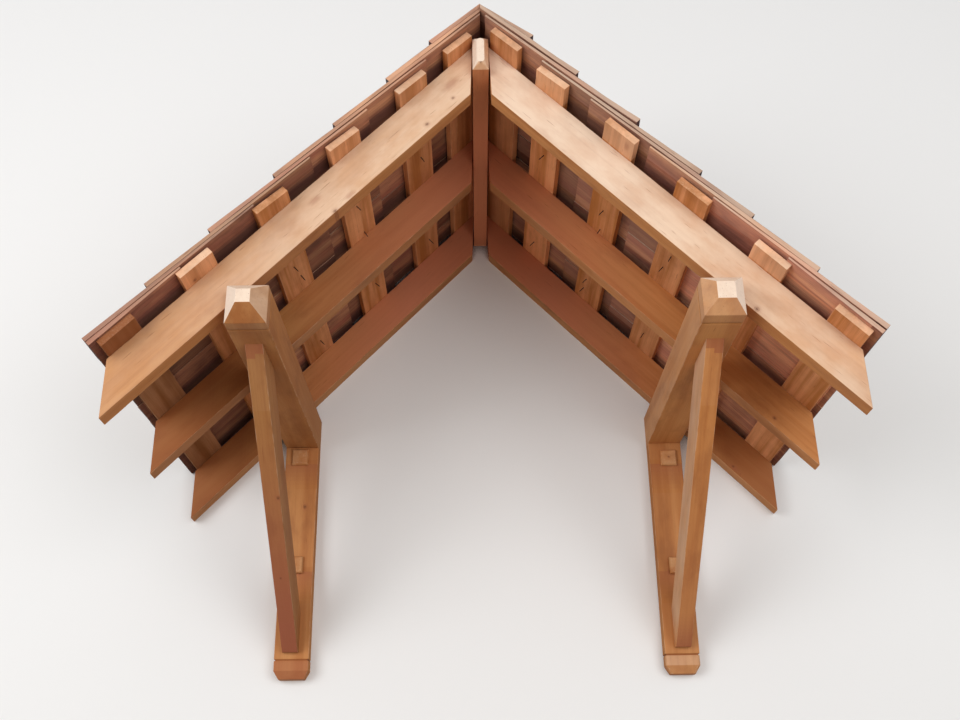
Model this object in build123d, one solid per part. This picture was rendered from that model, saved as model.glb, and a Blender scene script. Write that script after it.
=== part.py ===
from build123d import *

import math
import os

# Gabled timber door canopy, fixed to a wall. Millimetres.
# +X is to the right seen from the front, +Y points into the wall and +Z is up.
# The wall's face is the plane y = 0, and the canopy stands out from it towards -Y.
# The origin is the middle of the ridge beam's rear end, which lies on the wall.

# Timber sections
RIDGE_THICKNESS = 38.0
RIDGE_DEPTH = 89.0
RAFTER_THICKNESS = 40.0
RAFTER_DEPTH = 92.0
BEAM_WIDTH = 89.0
BEAM_DEPTH = 89.0
POST_WIDTH = 89.0
POST_THICKNESS = 38.0
BRACE_THICKNESS = 40.0
BRACE_DEPTH = 89.0
BATTEN_WIDTH = 89.0
BATTEN_THICKNESS = 17.0

# Roof
ROOF_PITCH = 46.1
RAFTER_TAIL_X = 793.0
HEAD_CUT_LEAN = 2.5
RIDGE_ABOVE_RAFTERS = 3.0
FRONT_RAFTER_OUT = 810.0
MIDDLE_RAFTER_OUT = 434.0
BEAM_SEAT_HEEL = 29.0

# Brackets. The braces stand a little outward of the beams' middle.
BEAM_SPACING = 1004.0
BEAM_LENGTH = 884.0
RIDGE_LENGTH = 850.0
POST_DROP = 599.0
BRACE_OUT = 737.0
BRACE_DROP = 555.0
BRACE_TOE = 14.0
BRACE_OFFSET = 2.0

# End shapes: a four-sided bevel, with a shallow saw groove behind it on the beams and posts.
# The two beams' ends are cut by hand and differ a little.
LEFT_BEVEL_LENGTH = 42.0
LEFT_BEVEL_INSET = 29.0
LEFT_GROOVE_SETBACK = 75.0
RIGHT_BEVEL_LENGTH = 32.0
RIGHT_BEVEL_INSET = 25.0
RIGHT_GROOVE_SETBACK = 70.0
RIDGE_BEVEL_LENGTH = 17.0
RIDGE_BEVEL_INSET = 10.0
RIDGE_SHOULDER_ROUNDING = 0.8
RIDGE_TIP_ROUNDING = 8.5
FOOT_BEVEL_LENGTH = 20.0
FOOT_BEVEL_INSET = 11.5
FOOT_BLOCK_HEIGHT = 27.0
GROOVE_WIDTH = 4.0
GROOVE_DEPTH = 3.0

# Wall bolts: each hole runs through the post into a pocket, which a square wooden plug covers
BOLT_HOLE_DIAMETER = 11.0
BOLT_POCKET_DIAMETER = 22.0
BOLT_POCKET_DEPTH = 12.0
UPPER_BOLT_DROP = 36.0
BOLT_SPACING = 299.0
PLUG_SIZE = 44.0
PLUG_THICKNESS = 10.0
PLUG_BEVEL = 3.0

# The plugs sit a little off their bolts' centres: each side's distance outward and upward
LEFT_PLUG_OFFSET = (4.0, 7.0)
RIGHT_PLUG_OFFSET = (7.0, -8.0)

# Battens: each value is the distance down the slope from the ridge beam's side to a batten's upper edge,
# and the lowest batten of each side follows the rafters' tails. Their front ends are cut a little askew:
# each pair says how far a batten stands out past the front rafter at its upper and at its lower edge.
LEFT_BATTENS = [1.0, 154.0, 371.0, 591.0, 807.0]
RIGHT_BATTENS = [6.0, 157.0, 370.0, 585.0, 804.0]
LEFT_OVERHANGS = [(40.0, 47.0), (44.0, 50.0), (44.0, 54.0), (44.0, 53.0), (53.0, 55.0), (53.0, 53.0)]
RIGHT_OVERHANGS = [(60.0, 65.0), (56.0, 64.0), (65.0, 67.0), (58.0, 60.0), (57.0, 57.0), (57.0, 57.0)]
LEFT_TOP_BATTEN_WIDTH = 83.0
EAVE_BATTEN_SETBACK = 7.0

# Shakes: tapered courses that lap each other, with a starter under the eave course.
# The exposures run up the slope from the eave. A lift is how far a curled course stands off the one below.
SHAKE_LENGTH = 457.0
SHAKE_TIP = 4.0
EAVE_OVERHANG = 10.0
LEFT_SHAKE_BUTT = 11.0
LEFT_EXPOSURES = [168.0, 178.0, 189.0, 183.0, 170.0, 144.0]
LEFT_LIFTS = [0.0, 0.0, 0.0, 0.0, 0.0, 0.0, 0.0]
LEFT_FRONT_OUT = 870.0
RIGHT_SHAKE_BUTT = 12.5
RIGHT_EXPOSURES = [184.0, 180.0, 151.0, 187.0, 186.0, 152.0]
RIGHT_LIFTS = [2.0, 0.0, 0.0, 0.0, 0.0, 3.0, 3.0]
RIGHT_FRONT_OUT = 880.0
STARTER_LENGTH = 250.0
STARTER_BUTT = 11.0
STARTER_SETBACK = 2.0
RIDGE_SHAKES_FRONT_OUT = 871.0
LEFT_RIDGE_BUTT = 11.0
LEFT_RIDGE_TIP = 9.0
RIGHT_RIDGE_BUTT = 16.0
RIGHT_RIDGE_TIP = 6.0

# Clearance between a course and the one that it lies on
SHAKE_GAP = 0.3

# Cutting blocks reach this far past the surface that they cut
CUT_MARGIN = 1.0

SLOPE = math.radians(ROOF_PITCH)
RUN = math.cos(SLOPE)
RISE = math.sin(SLOPE)
GRADE = math.tan(SLOPE)
HALF_RIDGE = RIDGE_THICKNESS / 2
RIDGE_TOP = RIDGE_DEPTH / 2

# The rafters' upper edge meets the ridge beam's side at this height
RAFTER_HEAD_Z = RIDGE_TOP - RIDGE_ABOVE_RAFTERS
RIDGE_LINE_Z = RAFTER_HEAD_Z + HALF_RIDGE * GRADE
RAFTER_PLUMB_DEPTH = RAFTER_DEPTH / RUN

# The beams' top is the seat that is cut into the rafters' lower edge
BEAM_X = BEAM_SPACING / 2
BEAM_OUTER_X = BEAM_X + BEAM_WIDTH / 2
BEAM_TOP_Z = RIDGE_LINE_Z - RAFTER_PLUMB_DEPTH - BEAM_OUTER_X * GRADE + BEAM_SEAT_HEEL
BEAM_BOTTOM_Z = BEAM_TOP_Z - BEAM_DEPTH
POST_BOTTOM_Z = BEAM_BOTTOM_Z - POST_DROP - FOOT_BEVEL_LENGTH
SIDES = {"left": -1, "right": 1}

# The plane of the right rafters' upper edges: its own x runs down the slope from the ridge line
RAFTER_TOP = Plane(origin=(0, 0, RIDGE_LINE_Z), x_dir=(RUN, 0, -RISE), z_dir=(RISE, 0, RUN))


def save(shape, name):
    """Writes one node of the canopy."""
    export_step(shape, f"parts/{name}.step")


def box(x0, x1, y0, y1, z0, z1):
    """A block between two corners."""
    return Pos((x0 + x1) / 2, (y0 + y1) / 2, (z0 + z1) / 2) * Box(x1 - x0, y1 - y0, z1 - z0)


def slope_point(down, height):
    """The x and z on the right side, down the slope from the ridge line and square above the rafters."""
    return (down * RUN + height * RISE, RIDGE_LINE_Z - down * RISE + height * RUN)


def extruded(points, y0, y1):
    """A solid whose outline in X and Z runs from y0 to y1."""
    outline = Plane.XZ.offset(-y0) * make_face(Polyline(*points, close=True))
    return extrude(outline, amount=-(y1 - y0))


def to_side(shape, side):
    """The right side's shape as it is, or turned over to the left side."""
    return shape if side > 0 else mirror(shape, about=Plane.YZ)


def ridge_beam():
    """The ridge beam, from the wall to its beveled front end, which grows round towards its flat face."""
    shoulder = RIDGE_LENGTH - RIDGE_BEVEL_LENGTH
    body = box(-HALF_RIDGE, HALF_RIDGE, -shoulder, 0, -RIDGE_DEPTH / 2, RIDGE_DEPTH / 2)
    base_size = (RIDGE_THICKNESS, RIDGE_DEPTH)
    base = Plane.XZ.offset(shoulder) * RectangleRounded(*base_size, RIDGE_SHOULDER_ROUNDING)
    tip_size = (RIDGE_THICKNESS - 2 * RIDGE_BEVEL_INSET, RIDGE_DEPTH - 2 * RIDGE_BEVEL_INSET)
    tip = Plane.XZ.offset(RIDGE_LENGTH) * RectangleRounded(*tip_size, RIDGE_TIP_ROUNDING)
    return body + loft([base, tip])


def beam(bevel_length, bevel_inset, groove_setback):
    """A right beam: a four-sided bevel at its end, and a saw groove round all four sides behind it."""
    shoulder = BEAM_LENGTH - bevel_length
    body = box(-BEAM_WIDTH / 2, BEAM_WIDTH / 2, -shoulder, 0, -BEAM_DEPTH / 2, BEAM_DEPTH / 2)
    base = Plane.XZ.offset(shoulder) * Rectangle(BEAM_WIDTH, BEAM_DEPTH)
    tip_size = (BEAM_WIDTH - 2 * bevel_inset, BEAM_DEPTH - 2 * bevel_inset)
    tip = Plane.XZ.offset(BEAM_LENGTH) * Rectangle(*tip_size)
    groove_y = groove_setback - BEAM_LENGTH
    ring = Box(BEAM_WIDTH + 2 * CUT_MARGIN, GROOVE_WIDTH, BEAM_DEPTH + 2 * CUT_MARGIN)
    ring -= Box(BEAM_WIDTH - 2 * GROOVE_DEPTH, GROOVE_WIDTH, BEAM_DEPTH - 2 * GROOVE_DEPTH)
    solid = body + loft([base, tip]) - Pos(0, groove_y, 0) * ring
    return Pos(BEAM_X, 0, BEAM_BOTTOM_Z + BEAM_DEPTH / 2) * solid


def bolt_heights():
    """The heights of the two wall bolts of a post."""
    upper = BEAM_BOTTOM_Z - UPPER_BOLT_DROP
    return upper, upper - BOLT_SPACING


def wall_post():
    """The right wall post: a saw groove, a foot bevel, and two bolt holes with their pockets."""
    half = POST_WIDTH / 2
    foot_z = POST_BOTTOM_Z + FOOT_BEVEL_LENGTH
    body = box(-half, half, -POST_THICKNESS, 0, foot_z, BEAM_BOTTOM_Z)
    top_face = Plane.XY.offset(foot_z) * Pos(0, -POST_THICKNESS / 2) * Rectangle(POST_WIDTH, POST_THICKNESS)
    foot_depth = POST_THICKNESS - FOOT_BEVEL_INSET
    foot_face = Plane.XY.offset(POST_BOTTOM_Z) * Pos(0, -foot_depth / 2)
    foot_face *= Rectangle(POST_WIDTH - 2 * FOOT_BEVEL_INSET, foot_depth)
    solid = body + loft([foot_face, top_face])
    groove_low = foot_z + FOOT_BLOCK_HEIGHT - GROOVE_WIDTH / 2
    groove_high = groove_low + GROOVE_WIDTH
    outer = half + CUT_MARGIN
    inner = half - GROOVE_DEPTH
    ring = box(-outer, outer, -POST_THICKNESS - CUT_MARGIN, 0, groove_low, groove_high)
    ring -= box(-inner, inner, -POST_THICKNESS + GROOVE_DEPTH, 0, groove_low, groove_high)
    solid -= ring
    for height in bolt_heights():
        along_y = Pos(0, -POST_THICKNESS / 2, height) * Rot(90, 0, 0)
        solid -= along_y * Cylinder(BOLT_HOLE_DIAMETER / 2, POST_THICKNESS + 2 * CUT_MARGIN)
        pocket = Pos(0, BOLT_POCKET_DEPTH / 2 - POST_THICKNESS, height) * Rot(90, 0, 0)
        solid -= pocket * Cylinder(BOLT_POCKET_DIAMETER / 2, BOLT_POCKET_DEPTH)
    return Pos(BEAM_X, 0, 0) * solid


def bolt_plug(height, offset):
    """A right square wooden plug over a bolt pocket, with its front edges beveled."""
    outward, upward = offset
    base = Plane.XZ.offset(POST_THICKNESS) * Rectangle(PLUG_SIZE, PLUG_SIZE)
    block = extrude(base, amount=PLUG_THICKNESS)
    front = block.faces().sort_by(Axis.Y)[0]
    return Pos(BEAM_X + outward, 0, height + upward) * chamfer(front.edges(), PLUG_BEVEL)


def brace():
    """The right brace: straight, cut level under the beam, plumb against the post and level at its toe."""
    run_out = BRACE_OUT - POST_THICKNESS
    angle = math.atan2(BRACE_DROP, run_out - BRACE_TOE)
    level = BRACE_DEPTH / math.sin(angle)
    plumb = BRACE_DEPTH / math.cos(angle)
    post_face = -POST_THICKNESS
    outline = [
        (-BRACE_OUT, BEAM_BOTTOM_Z),
        (-BRACE_OUT + level, BEAM_BOTTOM_Z),
        (post_face, BEAM_BOTTOM_Z - run_out * math.tan(angle) + plumb),
        (post_face, BEAM_BOTTOM_Z - BRACE_DROP),
        (post_face - BRACE_TOE, BEAM_BOTTOM_Z - BRACE_DROP),
    ]
    face = Plane.YZ * make_face(Polyline(*outline, close=True))
    return Pos(BEAM_X + BRACE_OFFSET - BRACE_THICKNESS / 2, 0, 0) * extrude(face, amount=BRACE_THICKNESS)


def rafter(front_out, thickness):
    """A right rafter: leaning head cut at the ridge beam, plumb tail cut, and a seat over the beam."""
    head_lean = RAFTER_PLUMB_DEPTH * math.tan(math.radians(HEAD_CUT_LEAN))
    foot_x = HALF_RIDGE + head_lean

    def upper(x):
        return RIDGE_LINE_Z - x * GRADE

    def lower(x):
        return upper(x) - RAFTER_PLUMB_DEPTH

    seat_x = BEAM_OUTER_X - BEAM_SEAT_HEEL / GRADE
    outline = [
        (HALF_RIDGE, upper(HALF_RIDGE)),
        (RAFTER_TAIL_X, upper(RAFTER_TAIL_X)),
        (RAFTER_TAIL_X, lower(RAFTER_TAIL_X)),
        (BEAM_OUTER_X, lower(BEAM_OUTER_X)),
        (BEAM_OUTER_X, BEAM_TOP_Z),
        (seat_x, BEAM_TOP_Z),
        (foot_x, lower(foot_x)),
    ]
    return extruded(outline, -front_out, thickness - front_out)


def batten(down, width, overhangs):
    """A right batten, flat on the rafters, from the wall to its askew end past the front rafter."""
    upper_y, lower_y = (-FRONT_RAFTER_OUT - overhang for overhang in overhangs)
    outline = Polyline((down, 0), (down + width, 0), (down + width, lower_y), (down, upper_y), close=True)
    return extrude(RAFTER_TOP * make_face(outline), amount=BATTEN_THICKNESS)


def batten_rows(side):
    """One side's battens from the ridge down: distance down the slope, width and overhangs."""
    upper, overhangs = (LEFT_BATTENS, LEFT_OVERHANGS) if side < 0 else (RIGHT_BATTENS, RIGHT_OVERHANGS)
    lowest = RAFTER_TAIL_X / RUN - EAVE_BATTEN_SETBACK - BATTEN_WIDTH
    downs = [HALF_RIDGE / RUN + down for down in upper] + [lowest]
    widths = [LEFT_TOP_BATTEN_WIDTH if side < 0 else BATTEN_WIDTH] + [BATTEN_WIDTH] * len(upper)
    return zip(downs, widths, overhangs)


def eave_down():
    """The distance down the slope to the shakes' butts at the eave."""
    return RAFTER_TAIL_X / RUN + EAVE_OVERHANG


def straight(start, end):
    """The height above the rafters along a straight line, as a function of the distance down the slope."""
    rate = (end[1] - start[1]) / (end[0] - start[0])
    return lambda down: start[1] + rate * (down - start[0])


def ridge_down(height_at):
    """The distance down the slope at which a surface meets the plumb plane of the ridge."""
    rate = height_at(1) - height_at(0)
    return -height_at(0) * RISE / (RUN + rate * RISE)


def upper_end(height_at, tip_down):
    """The x and z where a course's surface ends: at its tip, or at the plumb plane of the ridge."""
    x, z = slope_point(tip_down, height_at(tip_down))
    if x >= 0:
        return x, z
    down = ridge_down(height_at)
    return 0.0, slope_point(down, height_at(down))[1]


def course(base_at, top_at, butt_down, tip_down, front_out):
    """A right course: the solid between its lower and upper surfaces, square at the butt."""
    outline = [
        slope_point(butt_down, base_at(butt_down)),
        slope_point(butt_down, top_at(butt_down)),
        upper_end(top_at, tip_down),
        upper_end(base_at, tip_down),
    ]
    return extruded(outline, -front_out, 0)


def shake_courses(butt, exposures, lifts, front_out, ridge_butt, ridge_tip):
    """One side's courses from the eave up, as right-hand shapes. The first holds the starter too."""
    eave = eave_down()
    starter_tip = eave - STARTER_LENGTH
    starter_base = straight((starter_tip, BATTEN_THICKNESS), (eave, BATTEN_THICKNESS))
    below = straight((starter_tip, BATTEN_THICKNESS + SHAKE_TIP), (eave, BATTEN_THICKNESS + STARTER_BUTT))
    starter = course(starter_base, below, eave, starter_tip, front_out - STARTER_SETBACK)
    courses = []
    butt_down = eave
    for exposure, lift in zip(exposures, lifts):
        tip_down = butt_down - SHAKE_LENGTH
        base = below(butt_down) + SHAKE_GAP + lift
        base_at = straight((tip_down, BATTEN_THICKNESS), (butt_down, base))
        top_at = straight((tip_down, BATTEN_THICKNESS + SHAKE_TIP), (butt_down, base + butt))
        courses.append(course(base_at, top_at, butt_down, tip_down, front_out))
        below = top_at
        butt_down -= exposure
    courses[0] = Compound([starter, courses[0]])
    tip_down = ridge_down(below)
    tip_base = below(tip_down) + SHAKE_GAP
    base = below(butt_down) + SHAKE_GAP + lifts[-1]
    base_at = straight((tip_down, tip_base), (butt_down, base))
    top_at = straight((tip_down, tip_base + ridge_tip), (butt_down, base + ridge_butt))
    tip_down -= ridge_tip
    return courses + [course(base_at, top_at, butt_down, tip_down, RIDGE_SHAKES_FRONT_OUT)]


def main():
    os.makedirs("parts", exist_ok=True)
    save(ridge_beam(), "ridge_beam")
    rows = {
        "front": (FRONT_RAFTER_OUT, RAFTER_THICKNESS),
        "middle": (MIDDLE_RAFTER_OUT, RAFTER_THICKNESS),
        "rear": (RAFTER_THICKNESS, RAFTER_THICKNESS),
    }
    plug_offsets = {"left": LEFT_PLUG_OFFSET, "right": RIGHT_PLUG_OFFSET}
    beam_ends = {
        "left": (LEFT_BEVEL_LENGTH, LEFT_BEVEL_INSET, LEFT_GROOVE_SETBACK),
        "right": (RIGHT_BEVEL_LENGTH, RIGHT_BEVEL_INSET, RIGHT_GROOVE_SETBACK),
    }
    courses = {
        "left": shake_courses(LEFT_SHAKE_BUTT, LEFT_EXPOSURES, LEFT_LIFTS, LEFT_FRONT_OUT,
                              LEFT_RIDGE_BUTT, LEFT_RIDGE_TIP),
        "right": shake_courses(RIGHT_SHAKE_BUTT, RIGHT_EXPOSURES, RIGHT_LIFTS, RIGHT_FRONT_OUT,
                               RIGHT_RIDGE_BUTT, RIGHT_RIDGE_TIP),
    }
    for side_name, side in SIDES.items():
        save(to_side(beam(*beam_ends[side_name]), side), f"{side_name}_beam")
        save(to_side(wall_post(), side), f"{side_name}_wall_post")
        save(to_side(brace(), side), f"{side_name}_brace")
        for place, height in zip(("upper", "lower"), bolt_heights()):
            plug = bolt_plug(height, plug_offsets[side_name])
            save(to_side(plug, side), f"{side_name}_{place}_plug")
        for place, (front_out, thickness) in rows.items():
            save(to_side(rafter(front_out, thickness), side), f"{side_name}_{place}_rafter")
        for number, row in enumerate(batten_rows(side), 1):
            save(to_side(batten(*row), side), f"{side_name}_batten_{number}")
        for number, shape in enumerate(courses[side_name], 1):
            name = "ridge_shakes" if number == len(courses[side_name]) else f"shakes_{number}"
            save(to_side(shape, side), f"{side_name}_{name}")


main()
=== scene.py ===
import math

import bpy
import numpy as np
from bpy.props import FloatProperty, FloatVectorProperty, IntProperty, PointerProperty
from mathutils import Matrix


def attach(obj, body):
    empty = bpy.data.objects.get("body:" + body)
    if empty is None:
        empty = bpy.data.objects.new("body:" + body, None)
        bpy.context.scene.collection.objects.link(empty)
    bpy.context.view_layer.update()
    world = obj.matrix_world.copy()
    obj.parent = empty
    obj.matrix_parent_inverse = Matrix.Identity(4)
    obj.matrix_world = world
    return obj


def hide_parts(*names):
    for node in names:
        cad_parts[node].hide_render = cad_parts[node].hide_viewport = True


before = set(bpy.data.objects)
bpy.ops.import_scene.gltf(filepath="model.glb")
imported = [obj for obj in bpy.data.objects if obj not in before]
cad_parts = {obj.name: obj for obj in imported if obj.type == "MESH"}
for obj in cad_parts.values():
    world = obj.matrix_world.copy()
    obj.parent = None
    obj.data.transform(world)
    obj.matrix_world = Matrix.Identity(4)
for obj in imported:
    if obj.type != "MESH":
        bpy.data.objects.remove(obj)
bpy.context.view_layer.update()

bl_info = {
    "name": "Gabled timber door canopy",
    "version": (1, 0, 0),
    "blender": (4, 5, 0),
    "location": "View3D > Sidebar > Canopy",
    "description": "Dresses the packed canopy in planed cedar, sawn battens and split shakes",
    "category": "Object",
}

MM = 0.001
SIDES = {"left": -1, "right": 1}

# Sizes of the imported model, in millimetres
ROOF_PITCH = math.radians(46.1)
RUN, RISE, GRADE = math.cos(ROOF_PITCH), math.sin(ROOF_PITCH), math.tan(ROOF_PITCH)
RIDGE_SIZE, RIDGE_LENGTH, RIDGE_BEVEL, RIDGE_ROUNDING = (38.0, 89.0), 850.0, (17.0, 10.0), (0.8, 8.5)
RAFTER_THICKNESS, RAFTER_PLUMB, RAFTER_TAIL_X = 40.0, 92.0 / RUN, 793.0
HEAD_LEAN = RAFTER_PLUMB * math.tan(math.radians(2.5))
HALF_RIDGE = RIDGE_SIZE[0] / 2
RIDGE_LINE_Z = RIDGE_SIZE[1] / 2 - 3.0 + HALF_RIDGE * GRADE
RAFTER_FRONTS = {"front": 810.0, "middle": 434.0, "rear": RAFTER_THICKNESS}
BEAM_X, BEAM_SIDE, BEAM_LENGTH, GROOVE_WIDTH, GROOVE_DEPTH = 502.0, 89.0, 884.0, 4.0, 3.0
# Each side's bevel length, bevel inset and groove setback
BEAM_ENDS = {"left": (42.0, 29.0, 75.0), "right": (32.0, 25.0, 70.0)}
BEAM_OUTER_X, SEAT_HEEL = BEAM_X + BEAM_SIDE / 2, 29.0
BEAM_TOP_Z = RIDGE_LINE_Z - RAFTER_PLUMB - BEAM_OUTER_X * GRADE + SEAT_HEEL
BEAM_BOTTOM_Z = BEAM_TOP_Z - BEAM_SIDE
POST_THICKNESS, FOOT_BEVEL, FOOT_BLOCK = 38.0, (20.0, 11.5), 27.0
POST_BOTTOM_Z = BEAM_BOTTOM_Z - 599.0 - FOOT_BEVEL[0]
BRACE_THICKNESS, BRACE_DEPTH, BRACE_OFFSET = 40.0, 89.0, 2.0
BRACE_OUT, BRACE_DROP, BRACE_TOE = 737.0, 555.0, 14.0
BOLT_HEIGHTS = {"upper": BEAM_BOTTOM_Z - 36.0, "lower": BEAM_BOTTOM_Z - 335.0}
BOLT_HOLE, BOLT_POCKET = 11.0, (22.0, 12.0)
PLUG_SIZE, PLUG_THICKNESS, PLUG_BEVEL = 44.0, 10.0, 3.0
PLUG_OFFSETS = {"left": (4.0, 7.0), "right": (7.0, -8.0)}
BATTEN_WIDTH, BATTEN_THICKNESS, LEFT_TOP_WIDTH = 89.0, 17.0, 83.0
EAVE_BATTEN = RAFTER_TAIL_X / RUN - 7.0 - BATTEN_WIDTH - HALF_RIDGE / RUN
# Each batten's distance down the slope from the ridge beam's side, and how far its upper and its lower edge
# stand out past the front rafter
BATTENS = {
    "left": ((1.0, 40.0, 47.0), (154.0, 44.0, 50.0), (371.0, 44.0, 54.0), (591.0, 44.0, 53.0),
             (807.0, 53.0, 55.0), (EAVE_BATTEN, 53.0, 53.0)),
    "right": ((6.0, 60.0, 65.0), (157.0, 56.0, 64.0), (370.0, 65.0, 67.0), (585.0, 58.0, 60.0),
              (804.0, 57.0, 57.0), (EAVE_BATTEN, 57.0, 57.0)),
}
EAVE_DOWN = RAFTER_TAIL_X / RUN + 10.0
SHAKE_LENGTH, SHAKE_TIP, SHAKE_GAP = 457.0, 4.0, 0.3
STARTER_LENGTH, STARTER_BUTT, STARTER_SETBACK, RIDGE_SHAKES_FRONT = 250.0, 11.0, 2.0, 871.0
SHAKES = {
    "left": {"butt": 11.0, "front": 870.0, "exposures": (168.0, 178.0, 189.0, 183.0, 170.0, 144.0),
             "lifts": (0.0,) * 7, "ridge": (11.0, 9.0)},
    "right": {"butt": 12.5, "front": 880.0, "exposures": (184.0, 180.0, 151.0, 187.0, 186.0, 152.0),
              "lifts": (2.0, 0.0, 0.0, 0.0, 0.0, 3.0, 3.0), "ridge": (16.0, 6.0)},
}

# Seeds of the random draws
SEEDS = {"ridge beam": 3, "brackets": 20, "plugs": 40, "rafters": 60, "battens": 100, "shakes": 300,
         "nails": 500}
# The distance between two rings of points: of brackets and ridge beam, of rafters and battens, of shakes
RING_STEP, FINE_STEP, SHAKE_STEP = 12, 9, 13
# Wave lengths of a board's wander on its two axes, of the chips in its edges, and of a shake's sides
WANDER_WAVES, CHIP_WAVES = ((310, 530, 900), (290, 610, 980)), (19, 31, 47, 73)
SHAKE_SIDE_WAVES = (90, 160, 260)
# The distance between growth rings of the shakes and the plugs, and between saw marks, in metres
SHAKE_RINGS, PLUG_RINGS, SAW_SPACING = 0.0016, 0.0022, 0.0045

# Painted light and shade by place, in the scale that dress explains, with some sun bleaching. A beam's end
# has its flat tip, and then its outer, inner, lower and upper facets, each with painted light by the way it
# faces, and painted shade on the left beam's lower facet.
BEAM_FACETS = {"left": (1.3, 1.5, 0.6, -0.15, 1.2), "right": (1.3, 1.5, 0.3, 0.2, 1.2)}
# The groove's darkening is painted shade in its recess; the other darkens a batten's end edges.
GROOVE_SHADE, DEEP_END_SHADE = -1.75, -1.6
# Painted light on the right foot block, and painted shade on the left one.
FOOT_LIGHT = {"left": -0.5, "right": 0.35}
# The share of painted light that each batten's end lacks, from the ridge down, and each batten's tone. A
# share over 1 darkens the end. Past the front rafter the edges get painted light by a share, more on the
# right, but for some battens.
BATTEN_END_SHADE = {"left": (0.6, 0.3, 0.45, 0.85, 0.3, 2.7), "right": (0.55, 0.3, 0.55, 0.85, 0.25, 0.5)}
BATTEN_TONES = {"left": (0.5, 0.45, 0.6, 0.4, 0.55, -0.5), "right": (0.35, 1.25, 0.65, 0.45, 0.8, 0.6)}
BATTEN_EDGE_LIGHT, PLAIN_BATTENS = {"left": 0.12, "right": 0.38}, (1, 4, 6)
# A front rafter's painted light, with some sun bleaching, near the ridge and at the tail. The tails of the
# others darken from TAIL_X over TAIL_FADE, and a front rafter's painted light changes from OPEN_X to its
# tail.
RAFTER_OPEN = {"left": (0.85, 0.2), "right": (1.15, 0.75)}
TAIL_X, TAIL_FADE, OPEN_X = 550, 120, 300

# How far a course's front shake curls up at its butt, and how much rougher and lighter a course is
CURLS = {"right_shakes_5": 6.5, "right_shakes_6": 2.0, "right_shakes_4": 1.5}
ROUGH_SHAKES = {"right_shakes_6": 2.6, "right_shakes_5": 1.8, "left_shakes_6": 1.4}
LIGHT_SHAKES = {"right_shakes_1": 1.1, "left_shakes_1": -0.2}

# Knots and smudges by node: the place, the radius, and the way that the mark runs through the board
KNOTS = {
    "left_front_rafter": (((-126, -810, -180), 4.5, "across"), ((-66, -810, -107), 3.5, "across"),
                          ((-329, -810, -410), 4.5, "across")),
    "right_front_rafter": (((581, -810, -665), 5, "across"),),
    "right_middle_rafter": (((700, -434, -775), 4, "across"),),
    "right_rear_rafter": (((686, -40, -770), 3.5, "across"), ((702, -40, -792), 2.5, "across")),
    "left_brace": (((-489, -422, -955), 4.5, "through"), ((-505, -250, -1120), 3, "through")),
    "left_batten_5": (((-622, -821, -585), 4, "through"), ((-626, -790, -588), 5, "through")),
    "left_wall_post": (((-487, -38, -868), 5, "through"), ((-491, -38, -1048), 3.5, "through")),
    "right_wall_post": (((488, -38, -1056), 4.5, "through"),),
    "right_upper_plug": (((509, -48, -742), 2.5, "along"),),
}
SMUDGES = {
    "left_front_rafter": (((-70, -810, -67), 13, "across"), ((-375, -810, -381), 9, "across"),
                          ((-297, -810, -369), 8, "across")),
    "right_front_rafter": (((66, -810, -2), 16, "across"),),
    "right_rear_rafter": (((690, -40, -775), 9, "across"),),
    "left_batten_3": (((-443, -835, -399), 9, "through"),),
    "right_batten_3": (((324, -850, -275), 8, "through"),),
}
# The two of a board's own axes on which a mark's distance is measured
FOOTPRINTS = {"across": [0, 2], "through": [0, 1], "along": [1, 2]}
# Nail tips: distance down the slope from the ridge line, and y
NAILS = {
    "left": ((221, -556), (446, -586), (438, -452), (662, -563), (651, -505), (433, -158), (216, -130),
             (655, -121)),
    "right": ((231, -568), (440, -545), (442, -455), (657, -586), (645, -518), (430, -164), (426, -106),
              (652, -140), (226, -121)),
}

# The camera and the stage, in metres and radians. A lamp has a place and a target.
CAMERA_PLACE = (-0.027117, -2.876369, -1.673373)
CAMERA_PITCH, CAMERA_YAW, CAMERA_ROLL = math.radians(23.48), math.radians(0.419), math.radians(-0.88)
CAMERA_LENS, CAMERA_SENSOR = 40.407, 36.0
STAGE_WIDE, STAGE_HIGH, STAGE_OUT, FLOOR_Z, BACKDROP_Y = 7.0, 5.0, 9.0, -3.2, 0.0015
KEY_LAMP, FRONT_LAMP = ((-3.3, -4.3, -0.6), (0.0, -0.4, -0.5)), ((2.0, -4.6, -0.9), (0.0, -0.4, -0.4))
LAMP_SIZE = 3.0
# The backdrop gets painted shade as the open share of what lies within reach falls through a range, and it is
# clear to rays that are shorter than the last length
SLOT_REACH, SLOT_OPEN, SLOT_SHADE, TOUCHING = 0.08, (0.2, 0.42), (0.05, 0.04, 0.04), 0.006
PALE_WORLD = (0.93, 0.93, 0.93)


def color(name, about, value):
    """A colour setting."""
    return FloatVectorProperty(name=name, description=about, default=value, min=0, max=1, size=3,
                               subtype="COLOR")


def length(name, about, value):
    """A length setting, whose value is given in millimetres."""
    return FloatProperty(name=name, description=about, default=value * MM, min=0, unit="LENGTH", precision=4)


def power(name, about, value):
    """A setting of a lamp's power."""
    return FloatProperty(name=name, description=about, default=value, min=0, unit="POWER")


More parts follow.
